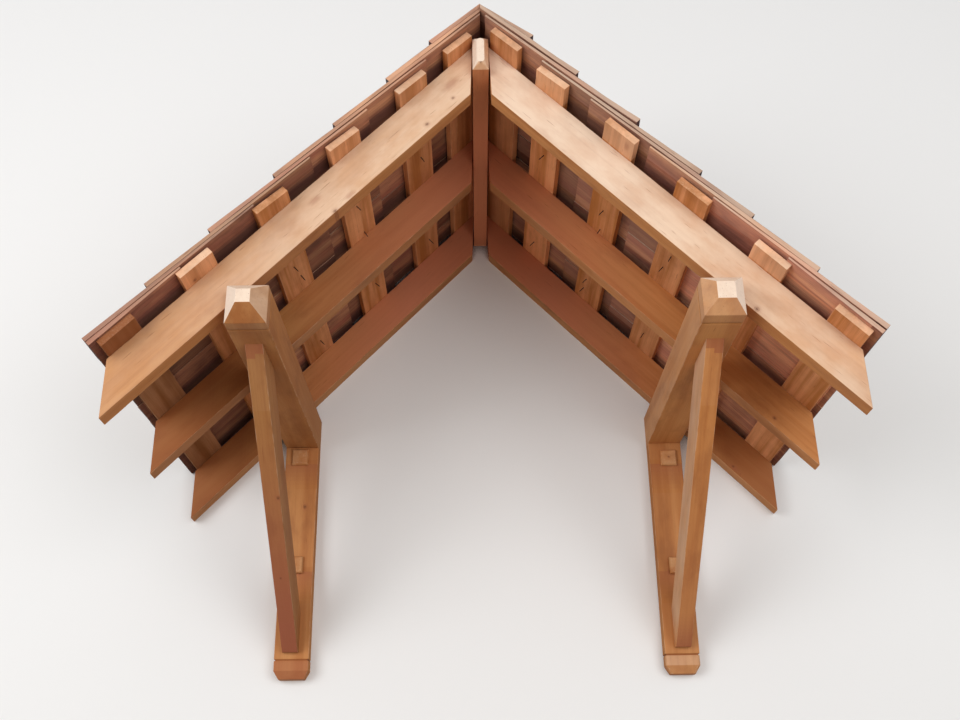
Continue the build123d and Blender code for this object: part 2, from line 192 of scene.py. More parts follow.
class TimberSettings(bpy.types.PropertyGroup):
    """Sizes and colours of the planed timber and the sawn battens."""

    edge_rounding: length("Edge rounding", "Radius of the timbers' eased edges", 1.3)
    ring_width: length("Ring width", "Distance between two growth rings", 3.2)
    chip_depth: length("Chip depth", "Depth of the small dents along the edges", 0.9)
    light: color("Light cedar", "Early wood of the planed timber", (0.60, 0.265, 0.088))
    deep: color("Deep cedar", "Broad darker bands of the planed timber", (0.49, 0.185, 0.052))
    dark: color("Late wood", "Growth rings, flecks and fibres", (0.26, 0.078, 0.024))
    knot: color("Knots", "Heart of a knot", (0.11, 0.032, 0.015))
    # This colour is sun bleaching, and painted light on faces that look out.
    bleached: color("Bleached cedar", "Faces that stand in the open light", (0.80, 0.585, 0.42))
    # This colour is painted light on the end faces and facets that face the light.
    pale: color("Palest cedar", "End faces that the light has turned nearly white", (0.90, 0.82, 0.74))
    # This colour serves real smudges, and painted shade on the braces, the feet and under the plugs.
    stain_and_shade: color("Stained cedar", "Damp and dirty places", (0.34, 0.105, 0.055))
    # This colour is painted shade, red with light thrown between the boards, on the ridge beam and rafters
    # under the roof.
    shade_red: color("Ruddy cedar", "Ridge beam and rafters deep under the roof", (0.64, 0.235, 0.125))
    batten: color("Sawn cedar", "Early wood of the battens", (0.82, 0.38, 0.18))
    plug: color("Plug face", "End grain of the plugs", (0.58, 0.29, 0.12))


class ShakeSettings(bpy.types.PropertyGroup):
    """Sizes and colours of the cedar shakes."""

    narrowest: length("Narrowest shake", "Width of the narrowest shake of a course", 95)
    widest: length("Widest shake", "Width of the widest shake of a course", 215)
    keyway: length("Keyway", "Widest gap between two shakes of a course", 6)
    relief: length("Relief", "Height of the ridges that splitting leaves", 0.55)
    light: color("Golden cedar", "Light shakes", (0.56, 0.285, 0.155))
    deep: color("Red cedar", "Dark shakes", (0.36, 0.14, 0.09))
    dark: color("Late wood", "Growth rings and fibres of the shakes", (0.09, 0.034, 0.03))
    # This colour greys the upper faces, and is painted light on the front edges.
    bleached: color("Weathered cedar", "Upper faces and front edges", (0.60, 0.44, 0.33))
    # This colour is painted shade on the undersides of the shakes.
    stain_and_shade: color("Damp cedar", "Undersides of the shakes", (0.52, 0.30, 0.235))
    # The butts are dark end grain, partly painted shade and a painted grey reflection.
    butt: color("Butt ends", "End grain that has taken up water", (0.085, 0.085, 0.095))
    seed: IntProperty(name="Seed", description="Chooses another run of shake widths", default=11, min=0)


class StageSettings(bpy.types.PropertyGroup):
    """The pale stage and its light."""

    wall: color("Backdrop", "Backdrop and floor as the camera sees them", (0.85, 0.85, 0.85))
    bounce: color("Bounce", "Backdrop and floor as the light that they throw back", (0.50, 0.46, 0.41))
    sky: FloatProperty(name="Fill", description="Strength of the even fill light", default=0.56, min=0)
    key: power("Key light", "Power of the large soft lamp", 118.0)
    front: power("Front light", "Power of the front lamp", 82.0)


class CanopySettings(bpy.types.PropertyGroup):
    """All settings of the canopy."""

    timber: PointerProperty(type=TimberSettings)
    shakes: PointerProperty(type=ShakeSettings)
    stage: PointerProperty(type=StageSettings)


# Surfaces

def share_of(value, start, end):
    """How far a value is on its way from start to end, from 0 to 1."""
    return np.clip((value - start) / (end - start), 0, 1)


def waves(s, rng, lengths):
    """The mean of sine waves of the given lengths along s, each with a random phase."""
    phases = rng.uniform(0, 2 * np.pi, len(lengths))
    return sum(np.sin(2 * np.pi * s / size + phase) for size, phase in zip(lengths, phases)) / len(lengths)


def relief(rng, shape, reach):
    """Noise of unit spread on a grid, in which waves shorter than the reach, in grid steps, fade out."""
    rates = np.meshgrid(*[np.fft.fftfreq(count) for count in shape], indexing="ij")
    fade = np.exp(-sum((rate * size) ** 2 for rate, size in zip(rates, reach)) * 8)
    field = np.fft.ifft2(np.fft.fft2(rng.standard_normal(shape)) * fade).real
    return field / field.std()


def section(across, up, steps=3, support=1.4):
    """The outline of a rounded rectangle as shares of its sides and of its corner radius, point by point.

    A corner's arc is a quarter circle. A side has a point just past each arc, and further points at the given
    shares of its length. Both are laid out once and turned by quarters. Returns pairs of rows, across and up:
    the shares, the radii and the outward direction; and each point's corner, or -1 on a side.
    """
    turn = np.linspace(0, np.pi / 2, steps + 1)
    arc_out = np.stack([np.sin(turn), -np.cos(turn)])
    arc_at = np.array([[1.0], [-1.0]]) + 0 * arc_out
    rows, spin = [], np.eye(2)
    for corner in range(4):
        shares = np.array(across if corner % 2 else up, float)
        inward = np.concatenate([[support], 1 - 2 * shares, [-support]])
        flat = 0 * inward
        side_at = np.stack([flat + 1, 2 * np.concatenate([[0], shares, [1]]) - 1])
        at = np.concatenate([arc_at, side_at], axis=1)
        inset = np.concatenate([arc_out - arc_at, np.stack([flat, inward])], axis=1)
        out = np.concatenate([arc_out, np.stack([flat + 1, flat])], axis=1)
        number = np.concatenate([0 * turn + corner, flat - 1])
        rows.append(np.concatenate([(spin @ at + 1) / 2, spin @ inset, spin @ out, [number]]))
        spin = np.array([[0, -1], [1, 0]]) @ spin
    whole = np.concatenate(rows, axis=1)
    return whole[0:2], whole[2:4], whole[4:6], whole[6]


def stations(start, end, step, ease, special=()):
    """Places along a board: even steps, the given special ones, and the quarter circle of the eased ends."""
    even = np.linspace(start, end, max(2, round((end - start) / step)) + 1)[1:-1]
    drop = ease * np.concatenate([1 - np.sin(np.linspace(np.pi / 2, 0, 4)), [2.2]])
    marks = np.concatenate([start + drop, end - drop, special])
    keep = np.abs(even[:, None] - marks[None, :]).min(axis=1) > min(step * 0.3, 4.0)
    return np.unique(np.round(np.concatenate([even[keep], marks]), 4))


def tube(xyz):
    """A closed shell from rings of points: four-sided faces between the rings, and a face at each end."""
    rings, count = xyz.shape[:2]
    i, j = np.meshgrid(np.arange(rings - 1) * count, np.arange(count), indexing="ij")
    turn = (j + 1) % count
    quads = np.stack([i + j, i + turn, i + turn + count, i + j + count], -1)
    ring = np.arange(count)
    return xyz.reshape(-1, 3), quads.reshape(-1, 4), [ring[::-1], ring + (rings - 1) * count]


class Board:
    """A piece of wood as a rounded rectangular section carried along its grain."""

    def __init__(self, s, low, high, radius, rng, ease=0.8, across=(0.5,), up=(0.5,), cuts=(None, None),
                 blends=(60.0, 60.0), wander=0.25, chips=0.0, split=None):
        """Works out the rings of points.

        At each station s the section spans low to high, across and up, and its corners have the given radius.
        Near the ends it draws in by a quarter circle of radius ease. A cut is a function of the two section
        coordinates that moves the end along the board, and fades out over its blend. Wander shifts the whole
        section by slow waves, and chips takes bites of about that depth out of the corners. The far end is
        folded between the two split points.
        """
        shares, insets, out, self.corner = section(across, up)
        s = s[:, None]
        reach = np.minimum(s - s[0], s[-1] - s)
        drawn = np.where(reach < ease, ease - np.sqrt(np.maximum(ease ** 2 - (ease - reach) ** 2, 0)), 0)
        placed = []
        for axis in (0, 1):
            near, far, r = (np.reshape(v, (-1, 1)) for v in (low[axis], high[axis], radius))
            across_s = (near + drawn) * (1 - shares[axis]) + (far - drawn) * shares[axis] + r * insets[axis]
            placed.append(across_s + wander * waves(s, rng, WANDER_WAVES[axis]) if wander else across_s)
        for corner in range(4 if chips else 0):
            bite = np.maximum(waves(s, rng, CHIP_WAVES) - 0.42, 0) * 2.5 * chips * (self.corner == corner)
            placed = [across_s - bite * direction for across_s, direction in zip(placed, out)]
        self.a, self.b = placed
        self.s, self.upward, self.split = s + 0 * self.a, out[1], split
        for end, cut, blend in zip((0, -1), cuts, blends):
            if cut:
                self.s = self.s + np.clip(1 - np.abs(s - s[end]) / blend, 0, 1) * cut(self.a, self.b)

    def roughen(self, rng, height, reach, lower_share):
        """Moves the two broad faces' points by random relief along the grain, less so on the lower face."""
        field = relief(rng, self.s.shape, reach) * height
        share = np.maximum(self.upward, 0) + np.minimum(self.upward, 0) * lower_share
        self.b = self.b + field * (self.corner < 0) * share

    def shell(self, place):
        """The closed shell; place turns the board's own coordinates, in millimetres, into points."""
        points, quads, caps = tube(np.stack(place(self.s, self.a, self.b), -1))
        if self.split is not None:
            far, (first, second) = caps.pop(), self.split
            caps += [far[first:second + 1], np.concatenate([far[second:], far[:first + 1]])]
        return points, quads, caps

    def edges(self):
        """1 at the points of the rounded edges, and 0 on the faces."""
        return np.tile((self.corner >= 0).astype(float), len(self.s))


def wood_axes(grain, across):
    """Rows: along the grain, across the board, and the third direction square to both."""
    grain, across = np.array(grain, float), np.array(across, float)
    return np.stack([grain, across, np.cross(grain, across)])


def piece_mesh(name, shells):
    """One mesh from shells of (points in millimetres, quads, caps), each made to face outwards."""
    points, faces, start = [], [], 0
    for xyz, quads, caps in shells:
        p = xyz * MM
        q = p[quads] - p.mean(axis=0)
        volume = np.einsum("ij,ij->", q.sum(axis=1), np.cross(q[:, 2] - q[:, 0], q[:, 3] - q[:, 1]))
        turn = -1 if volume < 0 else 1
        faces += (quads[:, ::turn] + start).tolist() + [(cap[::turn] + start).tolist() for cap in caps]
        points.append(p)
        start += len(p)
    mesh = bpy.data.meshes.new(name)
    mesh.from_pydata(np.concatenate(points), [], faces)
    mesh.update()
    return mesh


def read(items, field, width=1, kind=float):
    """One field of a mesh's items as an array."""
    values = np.empty(len(items) * width, kind)
    items.foreach_get(field, values)
    return values.reshape(-1, width) if width > 1 else values


def put(mesh, name, kind, domain, values):
    """Writes an attribute of the mesh."""
    field = "value" if kind == "FLOAT" else "vector"
    values = np.ascontiguousarray(values, np.float32).ravel()
    mesh.attributes.new(name, kind, domain).data.foreach_set(field, values)


def nearest_spot(spots, axes, local, centres, corner_point, corner_face):
    """Each face corner's distance from the spot nearest to its face, on two axes, and that spot's radius."""
    away = np.tile([1.0, 1.0, 0.001], (len(corner_point), 1))
    best = np.full(len(centres), np.inf)
    for place, size, way in spots:
        at, pick = axes @ (np.array(place) * MM), FOOTPRINTS[way]
        gap = np.linalg.norm((centres @ axes.T - at)[:, pick], axis=1) / size
        mine = (gap < best)[corner_face]
        best = np.minimum(gap, best)
        away[mine, :2] = (local[corner_point[mine]] - at)[:, pick]
        away[mine, 2] = size * MM
    return away


def dress(mesh, axes, heart, tone, edge, shading_and_weather, node=None):
    """Writes the attributes that the wood materials read, and the shading normals.

    wood is the place in the tree: metres along the grain and on two axes across it, with the heart at zero.
    knot and smudge are the distance from the nearest one, on two axes, and its radius. The last attribute
    holds the painted light and shade, with some sun bleaching, then the edge wear and the board's tone, which
    on some boards is set by side as painted shade. From 0 to 1 the first paints light on the wood, and from 1
    to 2 it paints it pale as well. From 0 down to -1 it paints shade on it, and from -1 down to -2 it only
    darkens it, from nothing. A point's shading normal is the mean of its faces' normals, weighted by area.
    """
    points, corner_point = read(mesh.vertices, "co", 3), read(mesh.loops, "vertex_index", kind=int)
    normals, centres = read(mesh.polygons, "normal", 3), read(mesh.polygons, "center", 3)
    corner_face = np.repeat(np.arange(len(normals)), read(mesh.polygons, "loop_total", kind=int))
    local = points @ axes.T
    put(mesh, "wood", "FLOAT_VECTOR", "POINT", local + heart)
    for name, table in (("knot", KNOTS), ("smudge", SMUDGES)):
        away = nearest_spot(table.get(node, ()), axes, local, centres, corner_point, corner_face)
        put(mesh, name, "FLOAT_VECTOR", "CORNER", away)
    tone = (tone + 0 * edge)[corner_point]
    finish = np.stack([shading_and_weather(normals, centres)[corner_face], edge[corner_point], tone], -1)
    put(mesh, "finish", "FLOAT_VECTOR", "CORNER", finish)
    smooth = np.zeros_like(points)
    np.add.at(smooth, corner_point, (normals * read(mesh.polygons, "area")[:, None])[corner_face])
    smooth /= np.maximum(np.linalg.norm(smooth, axis=1, keepdims=True), 1e-12)
    mesh.shade_smooth()
    mesh.normals_split_custom_set_from_vertices(smooth)


def outlook(normals):
    """How far a face looks out from the wall, from 0 to 1."""
    return np.clip(-normals[:, 1], 0, 1)


def darkened(share):
    """The level that darkens the wood by a share of 0 to 1, just past the end of the scale that paints shade;
    it paints deep shade under the shakes and darkens the rafters' tails.
    """
    return -1.001 - share


def shaded(normals, centres):
    """A face under the roof: a trace of painted light where it looks out from the wall."""
    return 0.06 * outlook(normals)


def under_roof_shade(ridge_share, reach, tail_share):
    """A rafter under the roof: painted red shade towards the ridge, darker at the tail, and a trace of
    painted light on its lower edge.
    """
    def shading_and_weather(normals, centres):
        out = np.abs(centres[:, 0]) / MM
        painted_shade = -np.clip(ridge_share * (1 - out / reach), 0, 0.99)
        tail = darkened(tail_share * share_of(out, TAIL_X, TAIL_X + TAIL_FADE))
        return np.where(normals[:, 2] < -0.4, 0.15, np.where(out > TAIL_X, tail, painted_shade))
    return shading_and_weather


def front_light(ridge_share, tail_share):
    """A front rafter, whose painted light, with some sun bleaching, is even near the ridge and changes to the
    tail, with painted light from below on its lower edge.
    """
    def shading_and_weather(normals, centres):
        down = share_of(np.abs(centres[:, 0]) / MM, OPEN_X, RAFTER_TAIL_X)
        lower_edge_light = 0.2 * np.clip(-normals[:, 2] - 0.3, 0, 1)
        return outlook(normals) ** 2 * (ridge_share + (tail_share - ridge_share) * down) + lower_edge_light
    return shading_and_weather


def add_piece(name, mesh, material, node):
    """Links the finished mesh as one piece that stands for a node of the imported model."""
    piece = bpy.data.objects.new(name, mesh)
    bpy.context.scene.collection.objects.link(piece)
    mesh.materials.append(material)
    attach(piece, "root")
    if node:
        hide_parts(node)


def heart_offset(rng, near=0.03, far=0.14):
    """A random place of the tree's heart, beside the board."""
    turn, away = rng.uniform(0, 2 * np.pi), rng.uniform(near, far)
    return np.array([rng.uniform(-3, 3), away * np.cos(turn), away * np.sin(turn)])


def timber_piece(name, node, board, place, axes, rng, material, shading_and_weather, tone, slot="cedar_timber",
                 cutter=None):
    """One board as a piece, less the cutter's solid where one is given."""
    mesh = piece_mesh(name, [board.shell(place)])
    put(mesh, "edge", "FLOAT", "POINT", board.edges())
    if cutter:
        mesh = cut_mesh(mesh, cutter)
    edge = read(mesh.attributes["edge"].data, "value")
    mesh.attributes.remove(mesh.attributes["edge"])
    dress(mesh, axes, heart_offset(rng), tone, edge, shading_and_weather, node)
    add_piece(name, mesh, wood_material(material), node)


def cut_mesh(mesh, cutter_mesh):
    """The mesh with the cutter's solid taken out of it."""
    items = [bpy.data.objects.new("cut", shape) for shape in (mesh, cutter_mesh)]
    for item in items:
        bpy.context.scene.collection.objects.link(item)
    cut = items[0].modifiers.new("cut", "BOOLEAN")
    cut.operation, cut.solver, cut.object = "DIFFERENCE", "EXACT", items[1]
    bpy.context.view_layer.update()
    solid = bpy.data.meshes.new_from_object(items[0].evaluated_get(bpy.context.evaluated_depsgraph_get()))
    for item in items:
        bpy.data.objects.remove(item)
    return solid


def turned_mesh(name, profile, places, segments=28):
    """Closed solids of revolution about lines along Y: a profile of (radius, y), turned round each place."""
    radius, y = np.array(profile, float).T[:, :, None]
    turn = np.linspace(0, 2 * np.pi, segments, endpoint=False)
    across, up = radius * np.cos(turn), radius * np.sin(turn)
    return piece_mesh(name, [tube(np.stack([x + across, y + 0 * turn, z + up], -1)) for x, z in places])


# Shader nodes

class Wire:
    """A node's output. A sum, difference, product, ratio or power of it is the output of a new Math node."""

    def __init__(self, socket):
        self.socket = socket
        self.tree = socket.id_data

    def __add__(self, other):
        return calc("ADD", self, other)

    def __sub__(self, other):
        return calc("SUBTRACT", self, other)

    def __mul__(self, other):
        return calc("MULTIPLY", self, other)

    def __truediv__(self, other):
        return calc("DIVIDE", self, other)

    def __pow__(self, other):
        return calc("POWER", self, other)


def feed(node, sockets):
    """Gives inputs of a node a value, or joins them to a wire."""
    for key, value in sockets.items():
        given = node.inputs[key]
        if isinstance(value, Wire):
            node.id_data.links.new(value.socket, given)
        else:
            given.default_value = (*value, 1.0) if given.type == "RGBA" else value


def add(tree, kind, sockets=None, **fields):
    """Adds a node with its options and inputs, and returns its outputs by number and by name."""
    node = tree.nodes.new(kind)
    for key, value in fields.items():
        setattr(node, key, value)
    feed(node, sockets or {})
    wires = [Wire(out) for out in node.outputs]
    return {**{wire.socket.name: wire for wire in wires}, **dict(enumerate(wires))}


def calc(operation, first, *values, clamp=False):
    """The result of a Math node."""
    sockets = dict(enumerate((first, *values)))
    return add(first.tree, "ShaderNodeMath", sockets, operation=operation, use_clamp=clamp)[0]


def ramp(value, low, high, out_low=0.0, out_high=1.0):
    """A value eased from one range into another."""
    sockets = {0: value, 1: low, 2: high, 3: out_low, 4: out_high}
    return add(value.tree, "ShaderNodeMapRange", sockets, interpolation_type="SMOOTHSTEP")[0]


def blend(share, first, second):
    """Two colours mixed."""
    sockets = {0: share, 6: first, 7: second}
    return add(share.tree, "ShaderNodeMix", sockets, data_type="RGBA", clamp_factor=True)[2]


def noise(vector, scale, detail=2.0, roughness=0.5):
    """A noise texture's value on the vector, whose axes are scaled each by its own number."""
    tree = vector.tree
    scaled = add(tree, "ShaderNodeVectorMath", {0: vector, 1: scale}, operation="MULTIPLY")[0]
    sockets = {"Vector": scaled, "Scale": 1.0, "Detail": detail, "Roughness": roughness}
    return add(tree, "ShaderNodeTexNoise", sockets, normalize=True)[0]


def parts(vector):
    """A vector's three numbers."""
    made = add(vector.tree, "ShaderNodeSeparateXYZ", {0: vector})
    return made[0], made[1], made[2]


def socket_kind(value):
    """The kind of group socket that takes a wire, a number or a colour."""
    kind = value.socket.type if isinstance(value, Wire) else "VALUE" if isinstance(value, float) else "RGBA"
    return {"VALUE": "NodeSocketFloat", "VECTOR": "NodeSocketVector", "RGBA": "NodeSocketColor"}[kind]


def grouped(tree, name, build, sockets):
    """The outputs of a node that holds the group of that name and has the given inputs.

    The group is made on first use: build turns its inputs into a table of its outputs.
    """
    group = bpy.data.node_groups.get(name)
    if group is None:
        group = bpy.data.node_groups.new(name, "ShaderNodeTree")
        for label, value in sockets.items():
            group.interface.new_socket(label, in_out="INPUT", socket_type=socket_kind(value))
        made = build(add(group, "NodeGroupInput"))
        for label, value in made.items():
            group.interface.new_socket(label, in_out="OUTPUT", socket_type=socket_kind(value))
        feed(group.nodes.new("NodeGroupOutput"), made)
    return add(tree, "ShaderNodeGroup", sockets, node_tree=group)


def grain(given):
    """Growth rings round the tree's heart, fibres, streaks, bands, flecks, knots and smudges.

    A ring's shade grows with a power of the share of the ring's width that a point lies out from its inner
    edge. The radius drifts by noise, and swells round a knot by a bell curve.
    """
    wood = given["Wood"]
    _, y, z = parts(wood)
    ragged = noise(wood, (90, 300, 300)) * 0.6 - 0.3

    def spot(vector, flatness):
        """The distance from a spot in its own radii, with a ragged edge, and its radius."""
        along, across, size = parts(vector)
        along = along * flatness
        return calc("SQRT", along * along + across * across) / size + ragged, size

    reach, knot_radius = spot(given["Knot"], 0.8)
    knot = ramp(reach, 1.15, 0.7) * (calc("SINE", reach * 7.5) * 0.35 + 0.6)
    halo = ramp(reach, 2.6, 0.8) * 0.55
    smudge = calc("MAXIMUM", ramp(spot(given["Smudge"], 0.45)[0], 1.25, 0.2), halo)
    swell = calc("EXPONENT", reach * reach * -0.16) * (knot_radius * 1.5)
    drift = (noise(wood, (2.2, 9, 9), 3, 0.55) - 0.5) * given["Waviness"]
    radius = calc("SQRT", y * y + z * z) + drift + swell
    phase = calc("FRACT", radius / given["Ring width"])
    ring = phase ** 2.5 * ramp(phase, 1.0, 0.9) * ramp(noise(wood, (1.5, 40, 40)), 0.3, 0.7, 0.35, 1.0)
    fibre = noise(wood, (14, 620, 620), 4, 0.65)
    flecks = ramp(noise(wood, (22, 330, 330), 1, 0.4), 0.70, 0.80)
    return {"Rings": ring, "Fibre": fibre, "Streaks": noise(wood, (3.5, 130, 130), 3, 0.6),
            "Mottle": noise(wood, (6, 15, 15), 4, 0.6), "Bands": noise(wood, (1.1, 26, 26), 3, 0.6),
            "Flecks": flecks, "Knot": knot, "Smudge": smudge,
            "Height": fibre * 0.5 + ring * 0.3 - flecks * 0.4 + knot * 0.3}


def saw_marks(given):
    """Marks that a saw leaves square across the grain: fine waves, stronger in patches."""
    wood = given["Wood"]
    turn = (parts(wood)[0] + noise(wood, (5, 5, 5)) * 0.012) / given["Spacing"]
    step = calc("SINE", turn * 6.2832) * 0.5 + 0.5
    return {"Marks": step * ramp(noise(wood, (18, 18, 18)), 0.4, 0.65)}


def shading_and_weathering(given):
    """The level laid over a wood colour: tone, painted light with sun bleaching in patches, worn edges,
    painted shade and darkening.
    """
    wood = given["Wood"]
    level, edge, tone = parts(given["Finish"])
    lit_share = calc("MULTIPLY", level, ramp(noise(wood, (7, 15, 15), 4, 0.6), 0.32, 0.7, 1.0, 0.55), clamp=True)
    worn = edge * ramp(noise(wood, (40, 300, 300)), 0.35, 0.7) * given["Edge wear"]
    value = (tone - 0.5) * given["Tone spread"] + 1.0
    hue = add(wood.tree, "ShaderNodeHueSaturation", {"Color": given["Color"], "Value": value})[0]
    hue = blend(calc("MAXIMUM", lit_share, worn), hue, given["Bleached"])
    hue = blend(calc("SUBTRACT", level, 1.0, clamp=True), hue, given["Pale"])
    painted_shade = calc("MULTIPLY", level, -1.0, clamp=True) * calc("GREATER_THAN", level, -1.0)
    hue = blend(painted_shade, hue, given["Stained"])
    return {"Color": blend(calc("MULTIPLY_ADD", level, -1.0, -1.0, clamp=True), hue, given["Dark"])}


def new_material(name):
    """A material with its tree and its Principled shader."""
    material = bpy.data.materials.new(name)
    material.use_nodes = True
    return material, material.node_tree, material.node_tree.nodes["Principled BSDF"]


def cedar_material(name, light, deep, dark, bleached, stain_and_shade, ring_width, waviness=0.012, rings=0.12,
                   fibres=0.16, mottle=0.3, streaks=0.05, band=(0.35, 0.65), saw=0.0, roughness=0.6,
                   bump=0.00035, edge_wear=0.35, tone_spread=0.35):
    """Early wood with broad bands, late wood lines, fibres, knots, smudges, saw marks, sun bleaching, and
    painted light and shade.
    """
    t = bpy.context.scene.canopy.timber
    material, tree, shader = new_material(name)
    wood, knots, smudges, finish = (add(tree, "ShaderNodeAttribute", attribute_name=attribute)["Vector"]
                                    for attribute in ("wood", "knot", "smudge", "finish"))
    made = grouped(tree, "Cedar grain", grain, {"Wood": wood, "Knot": knots, "Smudge": smudges,
                                                "Ring width": ring_width, "Waviness": waviness})
    hue = blend(ramp(made["Bands"], *band), light, deep)
    for share in (ramp(made["Mottle"], 0.46, 0.72, 0.0, mottle), made["Rings"] * rings,
                  ramp(made["Fibre"], 0.45, 0.8, 0.0, fibres),
                  ramp(made["Streaks"], 0.48, 0.7, 0.0, streaks)):
        hue = blend(share, hue, dark)
    height = made["Height"]
    if saw:
        marks = grouped(tree, "Saw marks", saw_marks, {"Wood": wood, "Spacing": SAW_SPACING})["Marks"]
        hue, height = blend(marks * saw, hue, dark), height + marks * (saw * 2)
    sockets = {"Color": hue, "Bleached": bleached, "Pale": t.pale, "Stained": stain_and_shade, "Dark": dark,
               "Wood": wood, "Finish": finish, "Edge wear": edge_wear, "Tone spread": tone_spread}
    hue = grouped(tree, "Weathering", shading_and_weathering, sockets)["Color"]
    for share, over in ((ramp(made["Streaks"], 0.4, 0.75) * 0.08, dark), (made["Flecks"] * 0.45, dark),
                        (made["Smudge"] * 0.4, t.stain_and_shade), (made["Knot"] * 0.85, t.knot)):
        hue = blend(share, hue, over)
    uneven = add(tree, "ShaderNodeBump", {"Height": height, "Distance": bump, "Strength": 0.8})[0]
    feed(shader, {"Specular IOR Level": 0.2, "Base Color": hue, "Normal": uneven,
                  "Roughness": made["Fibre"] * 0.18 + (roughness - 0.09)})
    return material


def wood_material(name):
    """The cedar of that name: planed, planed with painted red shade, sawn, or that of the plugs, the shakes
    and the shakes' butts.
    """
    if name in bpy.data.materials:
        return bpy.data.materials[name]
    t, s = bpy.context.scene.canopy.timber, bpy.context.scene.canopy.shakes
    planed = dict(light=t.light, deep=t.deep, dark=t.dark, bleached=t.bleached, stain_and_shade=t.stain_and_shade,
                  ring_width=t.ring_width)
    split = dict(planed, light=s.light, deep=s.deep, dark=s.dark, bleached=s.bleached, ring_width=SHAKE_RINGS)
    kinds = {
        "planed_cedar": dict(planed, mottle=0.45),
        "ruddy_cedar": dict(planed, mottle=0.45, stain_and_shade=t.shade_red),
        "sawn_cedar": dict(planed, light=t.batten, waviness=0.02, rings=0.2, fibres=0.25, saw=0.2,
                           roughness=0.75, bump=0.0006, tone_spread=0.5),
        "plug_cedar": dict(planed, light=t.plug, ring_width=PLUG_RINGS, waviness=0.004, rings=0.2, fibres=0.2,
                           roughness=0.7, edge_wear=0.2),
        "split_cedar": dict(split, stain_and_shade=s.stain_and_shade, rings=0.25, fibres=0.35, mottle=0.58, streaks=0.28,
                            band=(0.3, 0.65), roughness=0.82, bump=0.0014, edge_wear=0.3, tone_spread=0.9),
        "butt_cedar": dict(split, light=s.butt, deep=s.dark, bleached=s.butt, waviness=0.01, rings=0.5,
                           fibres=0.5, roughness=0.85, bump=0.0009, edge_wear=0.0),
    }
    return cedar_material(name, **kinds[name])


def plain_material(name, tint, roughness, metallic):
    """A nearly even finish with a little speckle in its colour."""
    material, tree, shader = new_material(name)
    speck = ramp(noise(add(tree, "ShaderNodeTexCoord")["Object"], (900, 900, 900)), 0.35, 0.7)
    darker = tuple(0.6 * part for part in tint)
    feed(shader, {"Base Color": blend(speck, tint, darker), "Roughness": roughness, "Metallic": metallic})
    return material


# Pieces

def roof_place(side):
    """Turns (down the slope, y, height above the rafters) into x, y and z."""
    return lambda s, y, h: (side * (s * RUN + h * RISE), y, RIDGE_LINE_Z - s * RISE + h * RUN)


def saw_groove(middle):
    """A groove's two edges along a board, the stations of its walls, and a test for places that lie in it."""
    near, far = middle - GROOVE_WIDTH / 2, middle + GROOVE_WIDTH / 2
    return near, far, [near - 0.3, near + 0.3, far - 0.3, far + 0.3], lambda s: (s > near) & (s < far)


class CANOPY_OT_ridge_beam(bpy.types.Operator):
    """Makes the ridge beam, whose end bevel grows round towards a narrow face"""

    bl_idname = "canopy.ridge_beam"
    bl_label = "Ridge beam"

    def execute(self, context):
        t = context.scene.canopy.timber
        rng = np.random.default_rng(SEEDS["ridge beam"])
        shoulder = RIDGE_LENGTH - RIDGE_BEVEL[0]
        s = stations(0, RIDGE_LENGTH, RING_STEP, 0.5, shoulder + np.array([-1, 0, 1, 6, 11]))
        share = share_of(s, shoulder, RIDGE_LENGTH)
        inset = RIDGE_BEVEL[1] * share
        half_a, half_b = HALF_RIDGE - inset, RIDGE_SIZE[1] / 2 - inset
        radius = RIDGE_ROUNDING[0] + (RIDGE_ROUNDING[1] - RIDGE_ROUNDING[0]) * share
        board = Board(s, (-half_a, -half_b), (half_a, half_b), radius, rng, ease=0.5, up=(0.33, 0.66),
                      chips=t.chip_depth / MM * 0.5, wander=0.1)

        def shading_and_weather(normals, centres):
            """Painted light up to pale on the end bevel, most on its left facet, and painted red shade on the
            rest, deeper towards the wall.
            """
            y = centres[:, 1] / MM
            facet = 1.0 + 0.3 * np.clip(normals[:, 0], 0, 1) + 1.6 * np.clip(-normals[:, 0], 0, 1)
            end = outlook(normals) ** 0.8 * np.where(normals[:, 1] < -0.9, 1.4, facet)
            rest = -0.5 - 0.45 * share_of(y, 60 - shoulder, 260 - shoulder)
            return np.where((y < 1 - shoulder) & (end > 0), end, rest)

        timber_piece("ridge_beam_timber", "ridge_beam", board, lambda s, a, b: (a, -s, b),
                     wood_axes((0, -1, 0), (1, 0, 0)), rng, "ruddy_cedar", shading_and_weather, 0.5)
        return {"FINISHED"}


